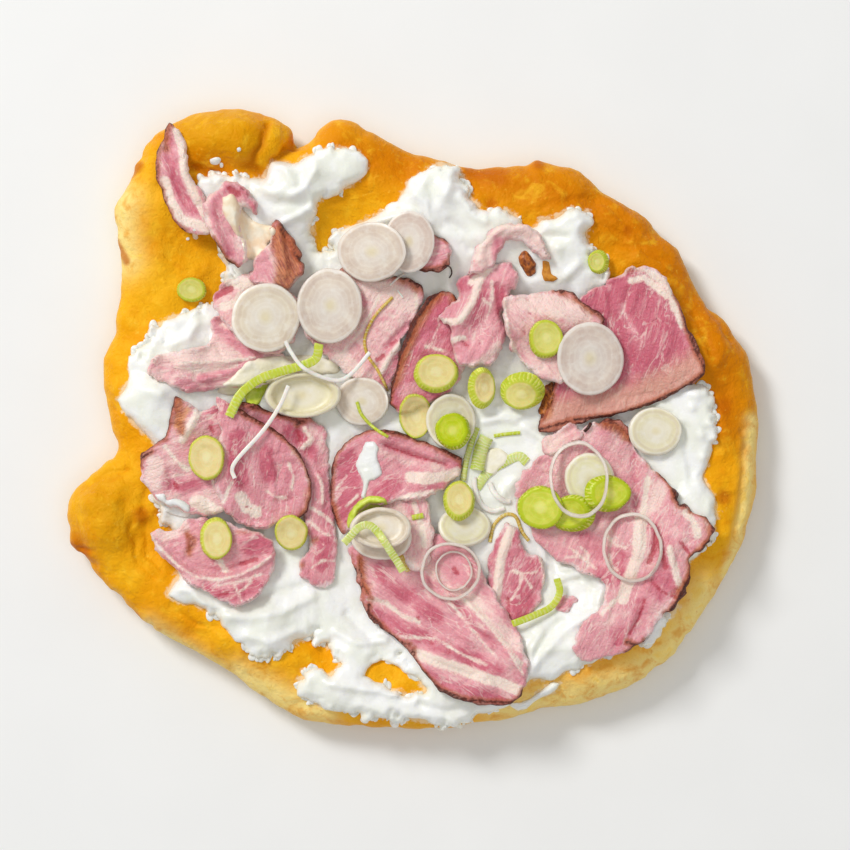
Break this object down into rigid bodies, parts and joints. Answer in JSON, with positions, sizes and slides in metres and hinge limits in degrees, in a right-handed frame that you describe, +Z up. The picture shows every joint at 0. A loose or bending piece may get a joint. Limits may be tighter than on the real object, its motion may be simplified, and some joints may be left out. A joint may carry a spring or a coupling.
{
  "type": "fried flatbread with toppings",
  "caption": "Puffed fried flatbread, uneven and golden, heaped with sour cream, folded slices of smoked ham, and rounds, rings and curls of onion.",
  "frame": {"origin": "under the middle of the bread's outline box, on the face it rests on", "axes": "+Z up from the plate, +Y away from the viewer in the picture, +X to the right"},
  "size_m": [0.251, 0.225, 0.0312],
  "materials": {
    "crust": "golden fried crust, slightly greasy",
    "cream": "thick sour cream, moist",
    "ham": "moist smoked ham with pale fat and a dark rind",
    "white_onion": "moist, slightly translucent onion",
    "green_onion": "moist yellow-green spring onion"
  },
  "bodies": {
    "root": {"bread": "crust", "cream": "cream", "cream_dab_low": "cream", "cream_dab_side": "cream", "ham_back": "ham", "ham_pale": "ham", "ham_round": "ham", "ham_pleated": "ham", "ham_under_left": "ham", "ham_strip": "ham", "ham_loop": "ham", "ham_roast": "ham", "ham_top": "ham", "ham_rind": "ham", "ham_dark": "ham", "ham_marbled": "ham", "ham_arch": "ham", "ham_big": "ham", "ham_folded": "ham", "ham_patch": "ham", "ham_right": "ham", "ham_bottom": "ham", "ham_peg": "ham", "ham_centre": "ham", "ham_turned": "ham", "onion_crescent": "white_onion", "onion_above": "white_onion", "onion_left": "white_onion", "onion_left_middle": "white_onion", "green_far_left": "green_onion", "green_top_right": "green_onion", "onion_middle": "white_onion", "green_middle": "green_onion", "onion_heart": "white_onion", "green_heart": "green_onion", "green_leaning": "green_onion", "green_middle_right": "green_onion", "green_tucked": "green_onion", "onion_right": "white_onion", "onion_far_right": "white_onion", "onion_low_right": "white_onion", "green_low_right": "green_onion", "green_low_middle": "green_onion", "green_low_far_right": "green_onion", "ring_low_right": "white_onion", "ring_far_low_right": "white_onion", "onion_low_middle": "white_onion", "green_low_centre": "green_onion", "ring_bottom": "white_onion", "onion_low_left": "white_onion", "cup_low_left": "white_onion", "green_left": "green_onion", "green_low_left": "green_onion", "green_behind": "green_onion", "cup_middle": "white_onion", "curl_green_ticks": "green_onion", "curl_white_long": "white_onion", "curl_white_hook": "white_onion", "curl_green_hook": "green_onion", "curl_low_left": "green_onion"}
  },
  "joints": []
}
